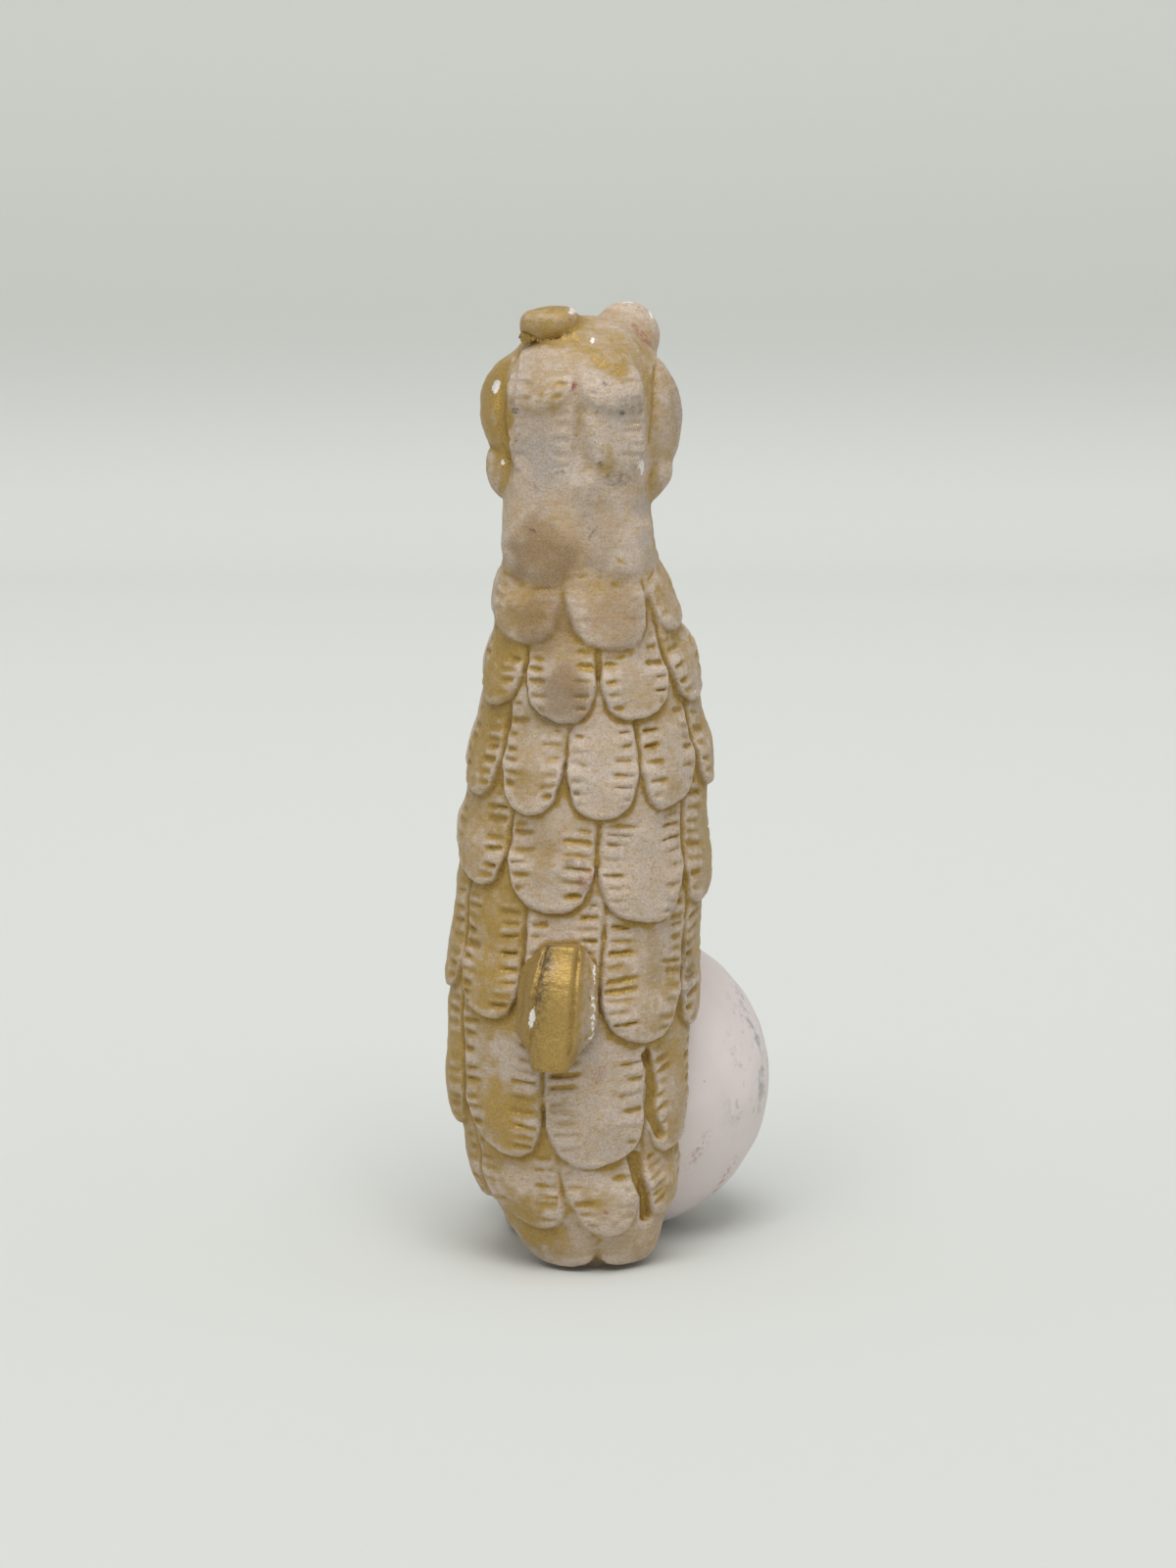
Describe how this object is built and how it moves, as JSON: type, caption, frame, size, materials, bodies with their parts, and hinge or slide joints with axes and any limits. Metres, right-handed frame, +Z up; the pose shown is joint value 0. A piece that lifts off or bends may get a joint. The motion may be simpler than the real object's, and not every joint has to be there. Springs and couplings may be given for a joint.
{
  "type": "clay seahorse figurine",
  "caption": "Standing hollow clay seahorse with overlapping scales, a tab-like dorsal fin, a crest and a smooth ball luted to its front.",
  "frame": {"origin": "on the floor, in the bottom face of the foot plate", "axes": "+Z up; the scaled back faces -Y and the face +Y; +X is the right of a viewer behind it"},
  "size_m": [0.0688, 0.0961, 0.1996],
  "materials": {
    "gold_washed_clay": "pinkish clay with a worn gold wash, satin",
    "pink_clay": "bare pinkish clay, matte",
    "pale_clay": "pale pink slip, smooth and matte",
    "dark_paint": "dark paint on clay, satin"
  },
  "bodies": {
    "root": {"belly_band_1": "pale_clay", "belly_band_2": "pale_clay", "belly_band_3": "pale_clay", "belly_band_4": "pale_clay", "body_back_shell": "gold_washed_clay", "body_front_shell": "pink_clay", "brow_knob": "pale_clay", "cheek_left": "gold_washed_clay", "cheek_right": "gold_washed_clay", "collar_scale_1": "gold_washed_clay", "collar_scale_2": "gold_washed_clay", "collar_scale_3": "gold_washed_clay", "crest_tab": "gold_washed_clay", "crown_scale_1": "gold_washed_clay", "crown_scale_2": "gold_washed_clay", "dorsal_fin": "gold_washed_clay", "eye_left": "dark_paint", "eye_right": "dark_paint", "foot_lobe_1": "pink_clay", "foot_lobe_2": "pink_clay", "foot_plate": "pink_clay", "gill_lobe_left": "gold_washed_clay", "gill_lobe_right": "gold_washed_clay", "head_back_shell": "gold_washed_clay", "head_front_shell": "pink_clay", "hem_scale_1": "gold_washed_clay", "hem_scale_2": "gold_washed_clay", "hem_scale_3": "gold_washed_clay", "hem_scale_4": "gold_washed_clay", "hip_scale_1": "gold_washed_clay", "hip_scale_2": "gold_washed_clay", "hip_scale_3": "gold_washed_clay", "hip_scale_4": "gold_washed_clay", "lower_back_scale_1": "gold_washed_clay", "lower_back_scale_2": "gold_washed_clay", "lower_back_scale_3": "gold_washed_clay", "lower_back_scale_4": "gold_washed_clay", "lower_back_scale_5": "gold_washed_clay", "mid_back_scale_1": "gold_washed_clay", "mid_back_scale_2": "gold_washed_clay", "mid_back_scale_3": "gold_washed_clay", "mid_back_scale_4": "gold_washed_clay", "nape_scale_1": "gold_washed_clay", "nape_scale_2": "gold_washed_clay", "neck_pad_1": "gold_washed_clay", "neck_pad_2": "gold_washed_clay", "pinched_ball": "pale_clay", "seam_coil_left": "pink_clay", "seam_coil_right": "pink_clay", "shoulder_scale_1": "gold_washed_clay", "shoulder_scale_2": "gold_washed_clay", "shoulder_scale_3": "gold_washed_clay", "shoulder_scale_4": "gold_washed_clay", "snout": "pale_clay", "tail": "pink_clay", "upper_back_scale_1": "gold_washed_clay", "upper_back_scale_2": "gold_washed_clay", "upper_back_scale_3": "gold_washed_clay", "upper_back_scale_4": "gold_washed_clay", "upper_back_scale_5": "gold_washed_clay"}
  },
  "joints": []
}
